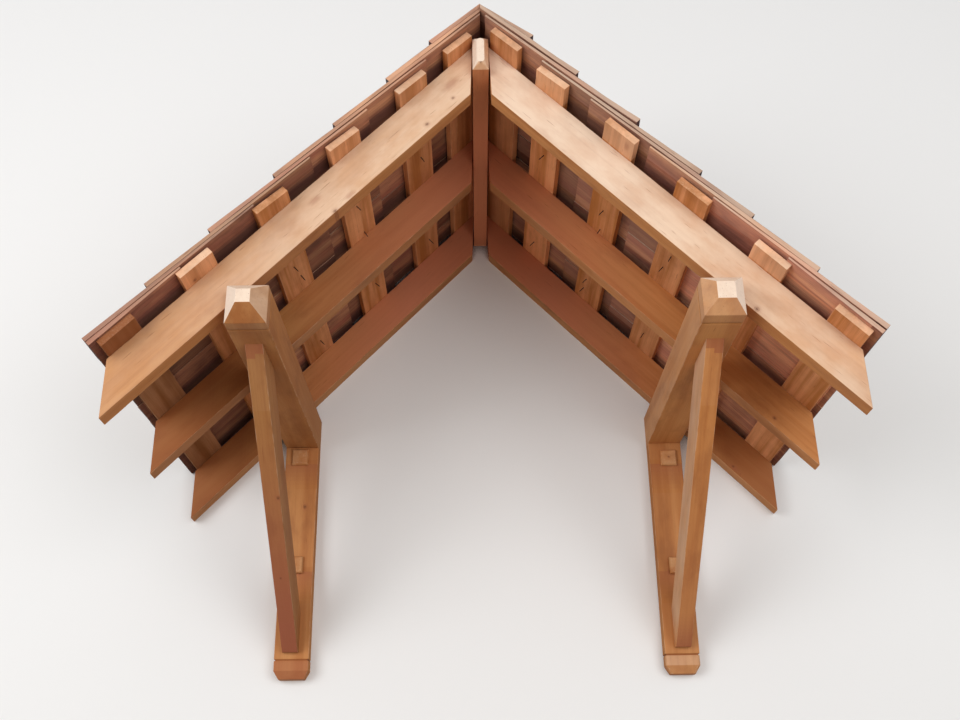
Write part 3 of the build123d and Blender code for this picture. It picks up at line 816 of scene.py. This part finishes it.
class CANOPY_OT_brackets(bpy.types.Operator):
    """Makes the two wall brackets: beams, wall posts and braces"""

    bl_idname = "canopy.brackets"
    bl_label = "Wall brackets"

    def execute(self, context):
        t = context.scene.canopy.timber
        for side_name, side in SIDES.items():
            rng = np.random.default_rng(SEEDS["brackets"] + side)
            for make in (self.beam, self.post, self.brace):
                make(side_name, side, t.edge_rounding / MM, t.chip_depth / MM, rng)
        return {"FINISHED"}

    def beam(self, side_name, side, rounding, chips, rng):
        """A square section that draws in evenly over the end bevel, and in the saw groove."""
        bevel_length, bevel_inset, setback = BEAM_ENDS[side_name]
        shoulder = BEAM_LENGTH - bevel_length
        _, far, marks, grooved = saw_groove(BEAM_LENGTH - setback)
        s = stations(0, BEAM_LENGTH, RING_STEP, 0.6, [*marks, shoulder - 1.2, shoulder, shoulder + 1.2])
        inset = bevel_inset * share_of(s, shoulder, BEAM_LENGTH)
        half = BEAM_SIDE / 2 - inset - GROOVE_DEPTH * grooved(s)
        board = Board(s, (-half, -half), (half, half), np.where(s > shoulder, 0.7, rounding), rng, ease=0.6,
                      chips=chips, wander=0.15)
        middle = BEAM_BOTTOM_Z + BEAM_SIDE / 2

        def shading_and_weather(normals, centres):
            """Painted light on the bevel facets by the way they face, on the block and on the inner side;
            painted shade in the groove.
            """
            out, inward = -centres[:, 1] / MM, -normals[:, 0] * side
            places = [normals[:, 1] < -0.9, inward < -0.3, inward > 0.3, normals[:, 2] < -0.3]
            *facets, upper_facet = BEAM_FACETS[side_name]
            facet = np.select(places, facets, upper_facet)
            body = 0.12 * (out > far) + (0.14 + 0.1 * side) * (inward > 0.9)
            finish = 0.03 + np.where(out > shoulder - 2, facet, body)
            return np.where(grooved(out), GROOVE_SHADE, finish)

        # The left beam's lower tone is painted shade.
        timber_piece(f"{side_name}_beam_timber", f"{side_name}_beam", board,
                     lambda s, a, b: (side * (BEAM_X + a), -s, middle + b),
                     wood_axes((0, -1, 0), (side, 0, 0)), rng, "planed_cedar", shading_and_weather, 0.3 + 0.3 * side)

    def post(self, side_name, side, rounding, chips, rng):
        """A section on the wall that draws in at the foot bevel and the saw groove, but not at its back."""
        foot = POST_BOTTOM_Z + FOOT_BEVEL[0]
        near, _, marks, grooved = saw_groove(foot + FOOT_BLOCK)
        s = stations(POST_BOTTOM_Z, BEAM_BOTTOM_Z, RING_STEP, 0.8, [*marks, foot - 1, foot, foot + 1])
        inset = FOOT_BEVEL[1] * share_of(s, foot, POST_BOTTOM_Z) + GROOVE_DEPTH * grooved(s)
        half = BEAM_SIDE / 2 - inset
        radius = np.where(s < near, 6.0 if side > 0 else 1.5, rounding)
        board = Board(s, (-half, inset - POST_THICKNESS), (half, 0 * s), radius, rng, chips=chips, wander=0.0)

        def shading_and_weather(normals, centres):
            """Painted light on the right foot, painted shade on the left one and under the foot, and a
            painted shadow under each plug.
            """
            z = centres[:, 2] / MM
            block = z < near
            share = np.where(block, FOOT_LIGHT[side_name], 0.03)
            # Painted shadow on the front under each plug, fading downwards.
            for height in BOLT_HEIGHTS.values():
                below = height + PLUG_OFFSETS[side_name][1] - PLUG_SIZE / 2 - z
                share = share - 0.5 * np.clip(1 + below / 14, 0, 1) * np.clip(1 - below / 75, 0, 1)
            # Painted shade on the foot's downward faces, and in the groove's recess.
            finish = share * outlook(normals) - 0.4 * block * np.clip(-normals[:, 2], 0, 1)
            return np.where(grooved(z), GROOVE_SHADE, finish)

        hole, pocket, floor = BOLT_HOLE / 2, BOLT_POCKET[0] / 2, BOLT_POCKET[1] - POST_THICKNESS
        profile = [(hole, 2.0), (hole, floor), (pocket, floor), (pocket, -POST_THICKNESS - 2.0)]
        places = [(side * BEAM_X, height) for height in BOLT_HEIGHTS.values()]
        cutter = turned_mesh("bolt_holes", profile, places)
        timber_piece(f"{side_name}_post_timber", f"{side_name}_wall_post", board,
                     lambda s, a, b: (side * (BEAM_X + a), b, s), wood_axes((0, 0, 1), (side, 0, 0)), rng,
                     "planed_cedar", shading_and_weather, 0.35, cutter=cutter)

    def brace(self, side_name, side, rounding, chips, rng):
        """A straight strut: level under the beam, plumb on the post, and level at its toe."""
        run_out = BRACE_OUT - POST_THICKNESS
        angle = math.atan2(BRACE_DROP, run_out - BRACE_TOE)
        sin, cos = math.sin(angle), math.cos(angle)
        end, half = BRACE_DROP / sin, BRACE_THICKNESS / 2
        corner = BRACE_TOE * sin / BRACE_DEPTH
        shares = (corner, 0.5, 1 - corner)

        def lower_cut(a, b):
            """The move of the lower end to the post's face, or to the toe's level cut if that is nearer."""
            return np.minimum((run_out - b * sin) / cos, (BRACE_DROP + b * cos) / sin) - end

        split = np.flatnonzero(np.isclose(section((0.5,), shares)[0][1], corner))
        board = Board(stations(0, end, RING_STEP, 0.6), (-half, 0), (half, BRACE_DEPTH), rounding, rng,
                      ease=0.6, up=shares, cuts=(lambda a, b: b * cos / sin, lower_cut), blends=(end, end),
                      chips=chips, wander=0.1, split=split)

        def place(s, a, b):
            """Turns (down the length, across, depth) into x, y and z."""
            return (side * (BEAM_X + BRACE_OFFSET + a), s * cos + b * sin - BRACE_OUT,
                    BEAM_BOTTOM_Z - s * sin + b * cos)

        def shading_and_weather(normals, centres):
            """Painted shade at the crown under the beam, down the length, more on the left, and at the toe;
            painted light on the inner side.
            """
            drop = BEAM_BOTTOM_Z - centres[:, 2] / MM
            crown = drop - 0.25 * (np.abs(centres[:, 0]) / MM - BEAM_X) < 17
            toe = share_of(drop, BRACE_DROP - 70, BRACE_DROP)
            painted_shade = 0.6 * crown + 0.5 * toe + (0.6 - 0.3 * side) * np.clip(drop / 350 - 0.3, 0, 1)
            inner_side_light = (0.28 + 0.23 * side) * (normals[:, 0] * side < -0.7) * (1 - toe)
            return np.where(inner_side_light > 0, inner_side_light, np.where(painted_shade > 0, -np.minimum(painted_shade, 0.99), 0.04))

        # The left brace's lower tone is painted shade.
        timber_piece(f"{side_name}_brace_timber", f"{side_name}_brace", board, place,
                     wood_axes((0, cos, -sin), (side, 0, 0)), rng, "planed_cedar", shading_and_weather, 0.1 + 0.5 * side)


class CANOPY_OT_plugs(bpy.types.Operator):
    """Makes the square plugs that cover the wall bolts"""

    bl_idname = "canopy.plugs"
    bl_label = "Bolt plugs"

    def execute(self, context):
        rng = np.random.default_rng(SEEDS["plugs"])
        s = stations(0, PLUG_THICKNESS, 3, 0.4, [PLUG_THICKNESS - PLUG_BEVEL])
        half = PLUG_SIZE / 2 - np.clip(s - PLUG_THICKNESS + PLUG_BEVEL, 0, None)
        quarters = (0.25, 0.5, 0.75)
        for side_name, side in SIDES.items():
            outward, upward = PLUG_OFFSETS[side_name]
            for place_name, height in BOLT_HEIGHTS.items():
                board = Board(s, (-half, -half), (half, half), 0.8, rng, ease=0.3, across=quarters,
                              up=quarters, wander=0.0, chips=0.3)
                x, z = side * (BEAM_X + outward), height + upward
                timber_piece(f"{side_name}_{place_name}_plug_block", f"{side_name}_{place_name}_plug", board,
                             lambda s, a, b: (x + side * a, -POST_THICKNESS - s, z + b),
                             wood_axes((0, -1, 0), (side, 0, 0)), rng, "plug_cedar", shaded, 0.5 + 0.1 * side,
                             "cedar_plugs")
        return {"FINISHED"}


class CANOPY_OT_rafters(bpy.types.Operator):
    """Makes three pairs of rafters, seated over the beams"""

    bl_idname = "canopy.rafters"
    bl_label = "Rafters"

    def execute(self, context):
        t = context.scene.canopy.timber
        seat_x = BEAM_OUTER_X - SEAT_HEEL / GRADE
        x = stations(HALF_RIDGE, RAFTER_TAIL_X, FINE_STEP, 1.0, [seat_x, BEAM_OUTER_X - 0.3, BEAM_OUTER_X])
        lower = RIDGE_LINE_Z - RAFTER_PLUMB - x * GRADE
        seat = np.where(x < BEAM_OUTER_X - 0.1, np.maximum(BEAM_TOP_Z - lower, 0), 0)
        for side_name, side in SIDES.items():
            # The left rafters' lower tone is painted shade.
            tone = 0.5 + 0.15 * side
            middle = under_roof_shade(1.0, 500, 0.42 - 0.25 * side)
            looks = {"front": ("planed_cedar", front_light(*RAFTER_OPEN[side_name]), tone),
                     "middle": ("ruddy_cedar", middle, tone if side > 0 else 0.0),
                     "rear": ("ruddy_cedar", under_roof_shade(1.6, 560, 0.72), tone)}
            for number, (place_name, out) in enumerate(RAFTER_FRONTS.items()):
                rng = np.random.default_rng(SEEDS["rafters"] + 10 * number + side)
                board = Board(x, (-out, seat), (RAFTER_THICKNESS - out, RAFTER_PLUMB), t.edge_rounding / MM,
                              rng, ease=1.0, up=(0.25, 0.5, 0.75), chips=t.chip_depth / MM, wander=0.2,
                              cuts=(lambda a, b: HEAD_LEAN * (1 - b / RAFTER_PLUMB), None))
                node = f"{side_name}_{place_name}_rafter"
                timber_piece(f"{node}_board", node, board,
                             lambda x, y, b: (side * x, y, RIDGE_LINE_Z - RAFTER_PLUMB - x * GRADE + b),
                             wood_axes((side * RUN, 0, -RISE), (0, 1, 0)), rng, *looks[place_name])
        return {"FINISHED"}


class CANOPY_OT_battens(bpy.types.Operator):
    """Makes the sawn battens across the rafters"""

    bl_idname = "canopy.battens"
    bl_label = "Battens"

    def execute(self, context):
        chips = context.scene.canopy.timber.chip_depth / MM * 0.6
        for side_name, side in SIDES.items():
            for number, (below_ridge, upper, lower) in enumerate(BATTENS[side_name], 1):
                rng = np.random.default_rng(SEEDS["battens"] + 20 * number + side)
                down, longest = HALF_RIDGE / RUN + below_ridge, max(upper, lower)
                wide = LEFT_TOP_WIDTH if (side_name, number) == ("left", 1) else BATTEN_WIDTH
                end_shade, tone = BATTEN_END_SHADE[side_name][number - 1], BATTEN_TONES[side_name][number - 1]
                edge_light = BATTEN_EDGE_LIGHT[side_name] * (number not in PLAIN_BATTENS)

                def slant(a, b):
                    """How far the front end draws back, evenly from the upper edge's reach to the lower's."""
                    return upper + (lower - upper) * share_of(a, down, down + wide) - longest

                def shading_and_weather(normals, centres):
                    """Painted light on the end by what it doesn't lack, and on the edges outside by a share;
                    past 1 the end darkens.
                    """
                    outside = (centres[:, 1] < -RAFTER_FRONTS["front"] * MM) & (np.abs(normals[:, 1]) < 0.5)
                    face = (1 - end_shade) * outlook(normals) ** 2 + edge_light * outside
                    return np.where(outside & (end_shade > 1), DEEP_END_SHADE, face)

                board = Board(stations(0, RAFTER_FRONTS["front"] + longest, FINE_STEP, 0.5), (down, 0),
                              (down + wide, BATTEN_THICKNESS), 0.7, rng, ease=0.4, across=(0.25, 0.5, 0.75),
                              chips=chips, wander=0.3, cuts=(None, slant))
                node = f"{side_name}_batten_{number}"
                timber_piece(f"{node}_board", node, board, lambda s, a, b: roof_place(side)(a, -s, b),
                             wood_axes((0, -1, 0), (side * RUN, 0, -RISE)), rng, "sawn_cedar", shading_and_weather, tone,
                             "cedar_battens")
        return {"FINISHED"}


def line(start, end):
    """The height above the rafters along a straight line between two (down, height) points."""
    rate = (end[1] - start[1]) / (end[0] - start[0])
    return lambda down: start[1] + rate * (down - start[0])


def ridge_down(height_at):
    """The distance down the slope at which a surface meets the plumb plane of the ridge."""
    rate = height_at(1) - height_at(0)
    return -height_at(0) * RISE / (RUN + rate * RISE)


def shake_layers(side_name):
    """Each course's layers as (base line, top line, tip, butt, front), from the eave up, starter first."""
    sizes = SHAKES[side_name]
    tip = EAVE_DOWN - STARTER_LENGTH
    base = line((tip, BATTEN_THICKNESS), (EAVE_DOWN, BATTEN_THICKNESS))
    below = line((tip, BATTEN_THICKNESS + SHAKE_TIP), (EAVE_DOWN, BATTEN_THICKNESS + STARTER_BUTT))
    layers, butt = [[(base, below, tip, EAVE_DOWN, sizes["front"] - STARTER_SETBACK)]], EAVE_DOWN
    for exposure, lift in zip(sizes["exposures"], sizes["lifts"]):
        tip = butt - SHAKE_LENGTH
        height = below(butt) + SHAKE_GAP + lift
        base = line((tip, BATTEN_THICKNESS), (butt, height))
        below = line((tip, BATTEN_THICKNESS + SHAKE_TIP), (butt, height + sizes["butt"]))
        layers.append([(base, below, tip, butt, sizes["front"])])
        butt -= exposure
    tip = ridge_down(below)
    low, height = below(tip) + SHAKE_GAP, below(butt) + SHAKE_GAP + sizes["lifts"][-1]
    thick, thin = sizes["ridge"]
    base, top = line((tip, low), (butt, height)), line((tip, low + thin), (butt, height + thick))
    return [layers[0] + layers[1], *layers[2:], [(base, top, tip - thin, butt, RIDGE_SHAKES_FRONT)]]


class CANOPY_OT_shakes(bpy.types.Operator):
    """Makes the courses of split shakes, with a starter under the eave course"""

    bl_idname = "canopy.shakes"
    bl_label = "Shakes"

    def execute(self, context):
        settings = context.scene.canopy.shakes
        for side_name, side in SIDES.items():
            joints, courses = [[1e9], [1e9]], shake_layers(side_name)
            for number, layers in enumerate(courses, 1):
                rng = np.random.default_rng(settings.seed + SEEDS["shakes"] + 20 * number + side)
                kind = "ridge_shakes" if number == len(courses) else f"shakes_{number}"
                self.course(f"{side_name}_{kind}", side, layers, settings, rng, joints)
        return {"FINISHED"}

    def widths(self, front, settings, rng, joints):
        """The y limits of one layer's shakes, front first, whose joints keep clear of the given ones."""
        limits, y, clear_by = [], -front, 38
        while y < -1:
            tries = rng.uniform(settings.narrowest, settings.widest, 16) / MM
            clear = np.abs(y + tries[:, None] - np.array([joints])).min(axis=1)
            wide = tries[np.argmax(np.minimum(clear, clear_by))]
            if -y - wide < settings.narrowest / MM * 0.8:
                wide = -y
            limits.append((y, min(y + wide, 0.0)))
            y += wide + rng.uniform(0.35, 1) * settings.keyway / MM
        return limits

    def shake(self, node, first, layer, y0, y1, settings, rng):
        """A tapered board between the layer's lines, with a skewed butt and split faces."""
        base, top, tip, butt, _ = layer
        inner = ridge_down(base)
        at_ridge = tip < inner
        start = inner if at_ridge else tip + rng.uniform(0, 4)
        end = butt if first else butt - rng.uniform(0, 2.5)
        s = stations(start, end, SHAKE_STEP, 0.5)
        share, rise = (s - start) / (end - start), rng.uniform(-0.5, 0.4)
        curl = CURLS.get(node, 0.0) * share ** 4 * first
        low, high = base(s) + max(rise, 0) * 0.5 + curl, top(s) + rise * share + curl
        skew = 0.3 if first else rng.uniform(-1.6, 1.6)
        cuts = ((lambda a, b: (base(inner) - b) * GRADE) if at_ridge else None,
                lambda a, b: skew * ((a - y0) / (y1 - y0) - 1) - abs(skew))
        columns = np.linspace(0, 1, max(4, round((y1 - y0) / 11)) + 1)[1:-1]
        board = Board(s, (y0, low), (y1, high), 0.5, rng, ease=0.4, across=columns, wander=0.0, chips=0.5,
                      cuts=cuts, blends=(60, 40))
        if not first:
            board.a = board.a + 0.6 * waves(board.s, rng, SHAKE_SIDE_WAVES)
        board.roughen(rng, settings.relief / MM * ROUGH_SHAKES.get(node, 1.0), (7, 1.6), 0.6)
        return board

    def course(self, node, side, layers, settings, rng, joints):
        """One course as one piece. joints lists those of each layer beneath, and gains this course's."""
        shells, hearts, tones, edges = [], [], [], []
        for layer in layers:
            limits = self.widths(layer[-1], settings, rng, joints[-1] + joints[-2])
            joints.append([y1 for _, y1 in limits[:-1]] + [1e9])
            for index, (y0, y1) in enumerate(limits):
                board = self.shake(node, index == 0, layer, y0, y1, settings, rng)
                shells.append(board.shell(roof_place(side)))
                edges.append(board.edges())
                hearts.append(np.tile(heart_offset(rng, 0.1, 0.3), (board.s.size, 1)))
                tones.append(np.full(board.s.size, rng.uniform(0.1, 0.95) + LIGHT_SHAKES.get(node, 0.0)))
        mesh = piece_mesh(f"{node}_split", shells)

        def shading_and_weather(normals, centres):
            """Lighter on top, painted light on the front edges, more on the right, and painted shade below,
            deepest behind each rafter's front and along the eave.
            """
            slope = normals @ (side * RISE, 0, RUN)
            ahead = -centres[:, 1:2] / MM - np.array(list(RAFTER_FRONTS.values()))
            # Painted shade on the undersides just behind each rafter's front, deeper on the left, and along
            # the eave.
            hidden = np.clip(np.minimum(1 - ahead / 24, 5 + ahead / 10), 0, 1).max(axis=1)
            hidden = hidden * (0.58 - 0.1 * side)
            down = np.abs(centres[:, 0]) / MM * RUN + (RIDGE_LINE_Z - centres[:, 2] / MM) * RISE
            hidden = np.maximum(hidden, 0.6 * (down > EAVE_DOWN - 20))
            underside = np.where(hidden > 0.02, darkened(hidden), -0.18 - 0.14 * side)
            top = 0.9 * np.clip(slope, 0, 1) + (0.55 + 0.25 * side) * outlook(normals) ** 2
            return np.where(slope < -0.5, underside, top)

        dress(mesh, wood_axes((side * RUN, 0, -RISE), (0, 1, 0)), np.concatenate(hearts),
              np.concatenate(tones), np.concatenate(edges), shading_and_weather)
        add_piece(f"{node}_split", mesh, wood_material("split_cedar"), node)
        mesh.materials.append(wood_material("butt_cedar"))
        butts = read(mesh.polygons, "normal", 3) @ (side * RUN, 0, -RISE) > 0.8
        mesh.polygons.foreach_set("material_index", butts.astype(np.int32))


class CANOPY_OT_nails(bpy.types.Operator):
    """Makes the nail tips that come through the battens"""

    bl_idname = "canopy.nails"
    bl_label = "Nail tips"

    def execute(self, context):
        rng = np.random.default_rng(SEEDS["nails"])
        mesh = piece_mesh("nail_tips", [self.tip(side, down, y, rng) for side_name, side in SIDES.items()
                                        for down, y in NAILS[side_name]])
        mesh.shade_smooth()
        steel = plain_material("nail_steel", (0.075, 0.06, 0.055), 0.45, 0.6)
        add_piece("nail_tips", mesh, steel, None)
        return {"FINISHED"}

    def tip(self, side, down, y, rng):
        """A tapered spike with a four-sided point, nearly square to the batten."""
        out = np.array([2.0, -5.0, -10.0, rng.uniform(-16.5, -13.5)])
        out = np.append(out, out[-1] - 3.0)[:, None]
        radius = np.array([[1.35], [1.3], [1.2], [1.1], [0.25]])
        around = np.linspace(0, 2 * np.pi, 8, endpoint=False)
        across = down + radius * np.cos(around) - rng.uniform(-0.12, 0.3) * out
        along = y + radius * np.sin(around) + rng.uniform(-0.15, 0.15) * out
        return tube(np.stack(roof_place(side)(across, along, out + 0 * across), -1))


class CANOPY_OT_stage(bpy.types.Operator):
    """Makes the backdrop, the floor, the light and the camera"""

    bl_idname = "canopy.stage"
    bl_label = "Stage"

    def execute(self, context):
        scene, stage = context.scene, context.scene.canopy.stage
        material = self.pale_material(stage)
        corners = {
            "backdrop": [(x, BACKDROP_Y, z) for x, z in self.around(FLOOR_Z, STAGE_HIGH)],
            "floor": [(x, y, FLOOR_Z) for x, y in self.around(-STAGE_OUT, STAGE_OUT)],
        }
        for name, places in corners.items():
            mesh = bpy.data.meshes.new(name)
            mesh.from_pydata(places, [], [(0, 1, 2, 3)])
            mesh.materials.append(material)
            sheet = bpy.data.objects.new(name, mesh)
            scene.collection.objects.link(sheet)
        self.world(scene, stage)
        self.lamp(scene, "key_lamp", *KEY_LAMP, stage.key)
        self.lamp(scene, "front_lamp", *FRONT_LAMP, stage.front)
        self.camera(scene)
        scene.view_settings.view_transform = "Standard"
        return {"FINISHED"}

    def around(self, low, high):
        """The corners of a sheet as wide as the stage."""
        return [(-STAGE_WIDE, low), (STAGE_WIDE, low), (STAGE_WIDE, high), (-STAGE_WIDE, high)]

    def pale_material(self, stage):
        """Pale paint, with painted shade in narrow slots, and clear from behind and to rays that have only
        just set out.
        """
        material, tree, shader = new_material("stage_pale")
        tree.nodes.remove(shader)
        enclosed = add(tree, "ShaderNodeAmbientOcclusion", {"Distance": SLOT_REACH}, samples=8)["AO"]
        tint = blend(ramp(enclosed, *SLOT_OPEN), SLOT_SHADE, stage.wall)
        seen = add(tree, "ShaderNodeBsdfDiffuse", {0: tint})[0]
        thrown = add(tree, "ShaderNodeBsdfDiffuse", {0: stage.bounce})[0]
        path = add(tree, "ShaderNodeLightPath")
        paint = add(tree, "ShaderNodeMixShader", {0: path["Is Camera Ray"], 1: thrown, 2: seen})[0]
        clear = calc("MAXIMUM", add(tree, "ShaderNodeNewGeometry")["Backfacing"],
                     calc("LESS_THAN", path["Ray Length"], TOUCHING))
        sockets = {0: clear, 1: paint, 2: add(tree, "ShaderNodeBsdfTransparent")[0]}
        feed(tree.nodes["Material Output"], {"Surface": add(tree, "ShaderNodeMixShader", sockets)[0]})
        return material

    def world(self, scene, stage):
        """An even fill light that the camera, reflections and clear materials see as pale."""
        scene.world = bpy.data.worlds.new("studio")
        scene.world.use_nodes = True
        tree = scene.world.node_tree
        tree.nodes.clear()
        path = add(tree, "ShaderNodeLightPath")
        seen = calc("MAXIMUM", path["Is Camera Ray"], path["Is Transmission Ray"])
        fill = add(tree, "ShaderNodeBackground", {0: (1.0, 1.0, 1.0), 1: stage.sky})[0]
        shown = add(tree, "ShaderNodeBackground", {0: PALE_WORLD, 1: 1.0})[0]
        mixed = add(tree, "ShaderNodeMixShader", {0: seen, 1: fill, 2: shown})[0]
        add(tree, "ShaderNodeOutputWorld", {0: mixed})

    def aim(self, scene, name, data, place, right, up, ahead):
        """An object at a place that looks ahead along its own -Z."""
        item = bpy.data.objects.new(name, data)
        turn = Matrix(np.stack([right, up, -ahead], -1).tolist()).to_4x4()
        item.matrix_world = Matrix.Translation(place) @ turn
        scene.collection.objects.link(item)
        return item

    def lamp(self, scene, name, place, target, watts):
        """A square soft lamp that faces the target."""
        data = bpy.data.lights.new(name, "AREA")
        data.size, data.energy = LAMP_SIZE, watts
        ahead = np.array(target) - np.array(place)
        ahead /= np.linalg.norm(ahead)
        right = np.cross(ahead, (0, 0, 1.0))
        right /= np.linalg.norm(right)
        self.aim(scene, name, data, place, right, np.cross(right, ahead), ahead)

    def camera(self, scene):
        """The camera, looking up at the canopy from below and in front."""
        data = bpy.data.cameras.new("camera")
        data.lens, data.sensor_width = CAMERA_LENS, CAMERA_SENSOR
        data.dof.use_dof = False
        level = np.array([math.cos(CAMERA_YAW), -math.sin(CAMERA_YAW), 0.0])
        ahead = np.array([math.sin(CAMERA_YAW) * math.cos(CAMERA_PITCH),
                          math.cos(CAMERA_YAW) * math.cos(CAMERA_PITCH), math.sin(CAMERA_PITCH)])
        up = np.cross(level, ahead)
        sin, cos = math.sin(CAMERA_ROLL), math.cos(CAMERA_ROLL)
        scene.camera = self.aim(scene, "camera", data, CAMERA_PLACE, level * cos + up * sin,
                                up * cos - level * sin, ahead)


class CANOPY_PT_sidebar(bpy.types.Panel):
    """Lists the canopy's pieces in the sidebar"""

    bl_idname = "CANOPY_PT_sidebar"
    bl_label = "Timber canopy"
    bl_space_type = "VIEW_3D"
    bl_region_type = "UI"
    bl_category = "Canopy"

    def draw(self, context):
        for operator in OPERATORS:
            self.layout.operator(operator.bl_idname)
        settings = context.scene.canopy
        for group in (settings.timber, settings.shakes, settings.stage):
            box = self.layout.box()
            for name in group.bl_rna.properties.keys():
                if name not in ("rna_type", "name"):
                    box.prop(group, name)


OPERATORS = (CANOPY_OT_stage, CANOPY_OT_ridge_beam, CANOPY_OT_brackets, CANOPY_OT_plugs, CANOPY_OT_rafters,
             CANOPY_OT_battens, CANOPY_OT_shakes, CANOPY_OT_nails)
CLASSES = (TimberSettings, ShakeSettings, StageSettings, CanopySettings, *OPERATORS, CANOPY_PT_sidebar)


def register():
    for item in CLASSES:
        bpy.utils.register_class(item)
    bpy.types.Scene.canopy = PointerProperty(type=CanopySettings)


def unregister():
    del bpy.types.Scene.canopy
    for item in reversed(CLASSES):
        bpy.utils.unregister_class(item)


def main():
    """Makes the whole scene."""
    register()
    for operator in OPERATORS:
        group, name = operator.bl_idname.split(".")
        getattr(getattr(bpy.ops, group), name)()


if __name__ == "__main__":
    main()
